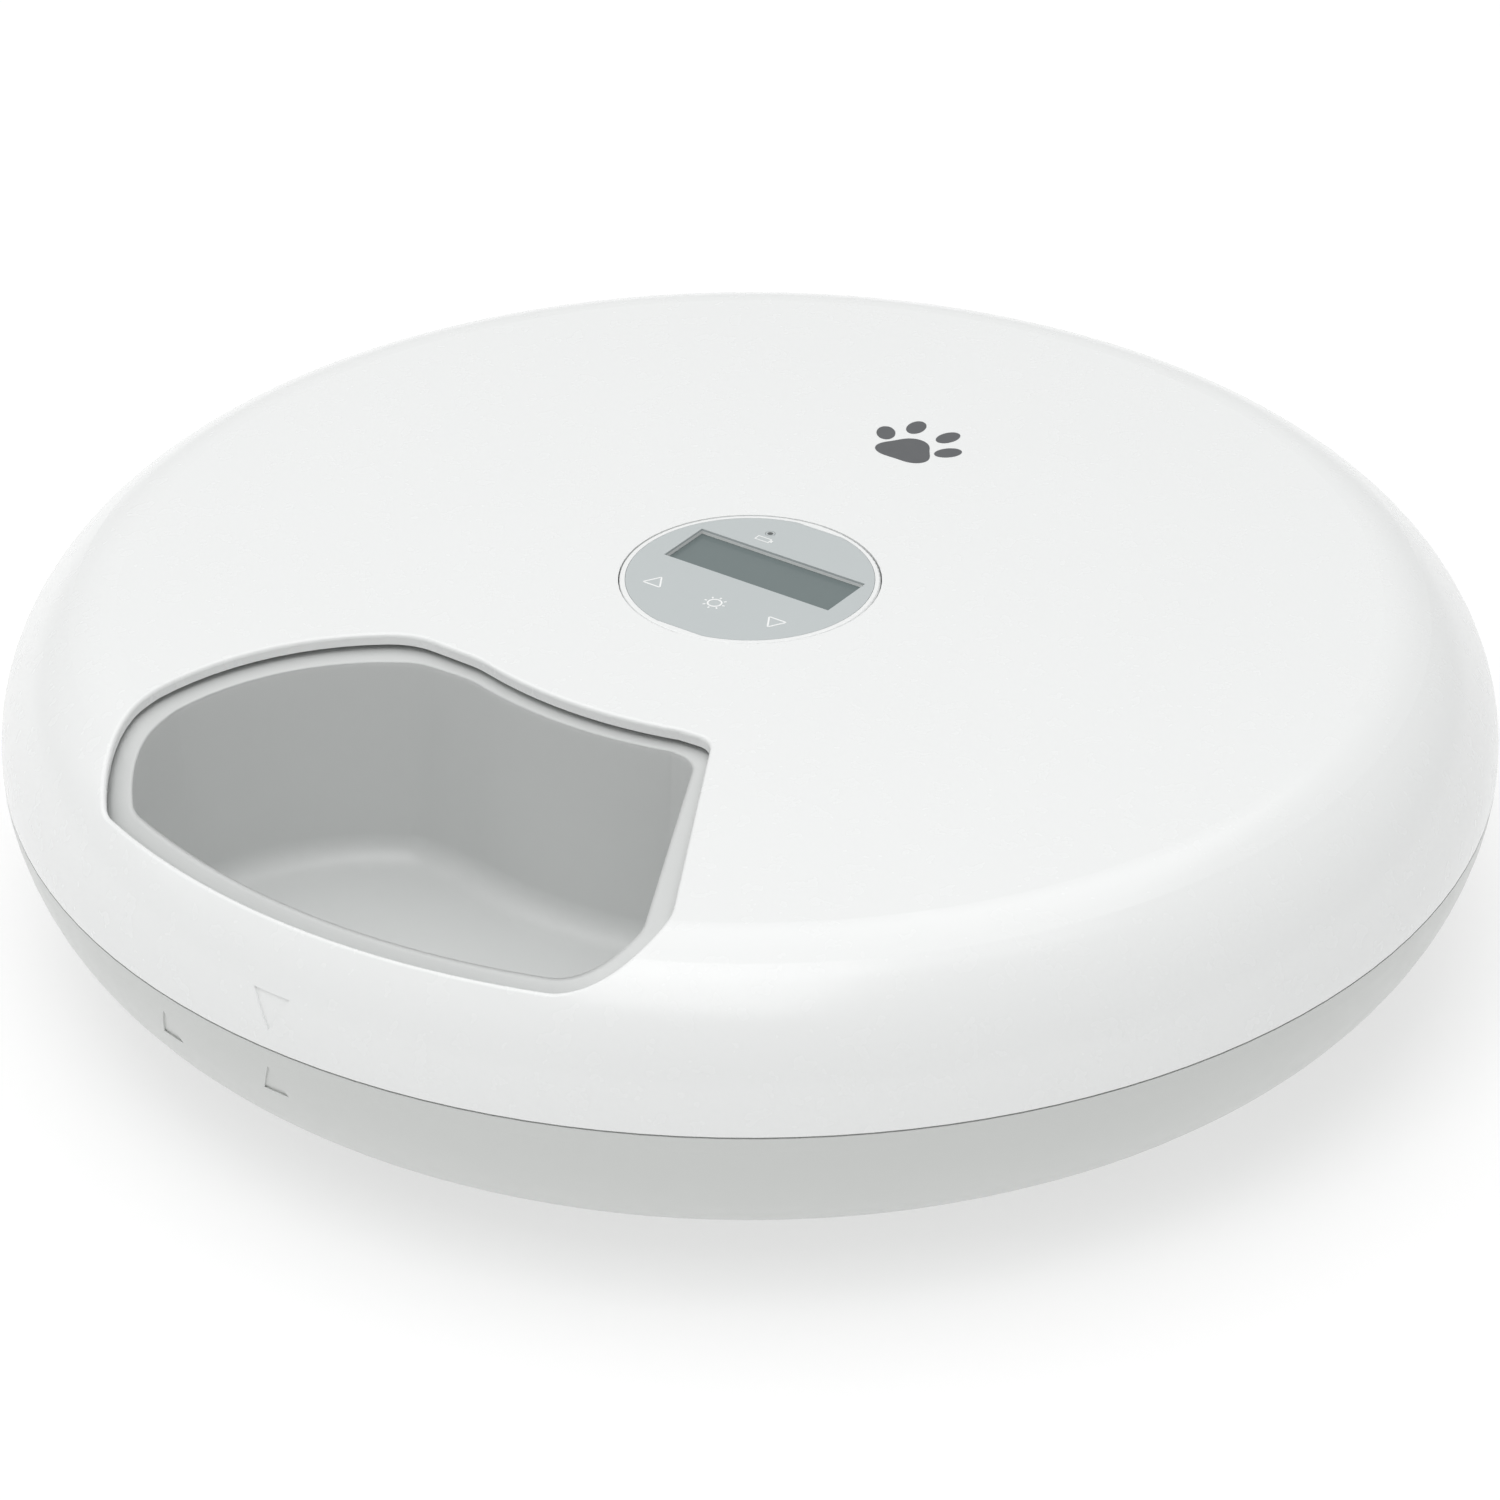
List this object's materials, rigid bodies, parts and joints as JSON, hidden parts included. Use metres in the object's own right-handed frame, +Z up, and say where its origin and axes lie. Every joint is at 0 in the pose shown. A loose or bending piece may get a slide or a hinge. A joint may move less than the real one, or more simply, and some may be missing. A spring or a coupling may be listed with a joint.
{
  "type": "automatic pet feeder",
  "caption": "Round battery-powered pet feeder: a lift-off lid with one opening over a turning tray of bowls, and a control panel in the middle.",
  "frame": {"origin": "bottom centre of the feeder: the turning axis at the plane of the feet", "axes": "+Z up along the turning axis, -Y towards the open bowl, +X to the right seen from that side"},
  "size_m": [0.32, 0.32, 0.0823],
  "materials": {
    "white_shell": "satin moulded ABS",
    "tray_plastic": "satin moulded polypropylene",
    "panel_film": "fine matt polyester film",
    "display_glass": "clear",
    "display_body": "dark grey green",
    "gear_acetal": "natural acetal",
    "grey_plastic": "moulded",
    "black_plastic": "moulded",
    "board_laminate": "solder mask",
    "steel": "zinc plated",
    "motor_steel": "drawn can",
    "spring_nickel": "nickel plated",
    "cell_sleeve": "printed sleeve",
    "rubber": "matt",
    "silicone": "translucent matt",
    "lamp_lens": "diffused lens"
  },
  "bodies": {
    "housing": {"base_shell": "white_shell", "rubber_feet": "rubber", "glide_pads": "gear_acetal", "position_switch": "black_plastic", "battery_cells": "cell_sleeve", "contact_plates": "spring_nickel", "contact_springs": "spring_nickel", "gear_axles": "steel", "gear_motor": "motor_steel", "gear_plate": "grey_plastic", "plate_screws": "steel", "column_cover": "white_shell", "cover_screws": "steel", "panel_overlay": "panel_film", "lcd_window": "display_glass", "lcd_module": "display_body", "main_board": "board_laminate", "board_screws": "steel", "key_switches": "black_plastic", "sounder": "black_plastic", "status_lamp": "lamp_lens"},
    "tray": {"turntable": "gear_acetal", "food_tray": "tray_plastic"},
    "drive_wheel": {"drive_gear": "gear_acetal"},
    "compound_wheel": {"compound_gear": "gear_acetal"},
    "motor_rotor": {"motor_shaft": "steel", "motor_pinion": "gear_acetal"},
    "lid_carrier": {"lid_seal": "silicone"},
    "lid_cover": {"lid": "white_shell"},
    "door": {"battery_door": "white_shell"},
    "up_button": {"up_key": "grey_plastic"},
    "set_button": {"set_key": "grey_plastic"},
    "down_button": {"down_key": "grey_plastic"}
  },
  "joints": [
    {"name": "tray_spin", "type": "hinge", "parent": "housing", "child": "tray", "pos_m": [0, 0, 0], "axis": [0, 0, 1], "continuous": true},
    {"name": "drive_spin", "type": "hinge", "parent": "housing", "child": "drive_wheel", "pos_m": [0, 0.0435, 0], "axis": [0, 0, 1], "continuous": true},
    {"name": "compound_spin", "type": "hinge", "parent": "housing", "child": "compound_wheel", "pos_m": [0, 0.024, 0], "axis": [0, 0, 1], "continuous": true},
    {"name": "motor_spin", "type": "hinge", "parent": "housing", "child": "motor_rotor", "pos_m": [0, 0.003, 0], "axis": [0, 0, 1], "continuous": true},
    {"name": "lid_lift", "type": "slide", "parent": "housing", "child": "lid_carrier", "axis": [0, 0, 1], "range_m": [0, 0.1]},
    {"name": "lid_twist", "type": "hinge", "parent": "lid_carrier", "child": "lid_cover", "pos_m": [0, 0, 0], "axis": [0, 0, 1], "range_deg": [-11, 0]},
    {"name": "door_slide", "type": "slide", "parent": "housing", "child": "door", "axis": [0, 1, 0], "range_m": [0, 0.06]},
    {"name": "up_press", "type": "slide", "parent": "housing", "child": "up_button", "axis": [0, 0, -1], "range_m": [0, 0.0003], "stiffness_N_per_m": 4000},
    {"name": "set_press", "type": "slide", "parent": "housing", "child": "set_button", "axis": [0, 0, -1], "range_m": [0, 0.0003], "stiffness_N_per_m": 4000},
    {"name": "down_press", "type": "slide", "parent": "housing", "child": "down_button", "axis": [0, 0, -1], "range_m": [0, 0.0003], "stiffness_N_per_m": 4000}
  ],
  "couplings": [
    {"joint": "drive_spin", "follows": "tray_spin", "ratio": 5.1429},
    {"joint": "compound_spin", "follows": "tray_spin", "ratio": -6},
    {"joint": "motor_spin", "follows": "tray_spin", "ratio": 19.2}
  ]
}
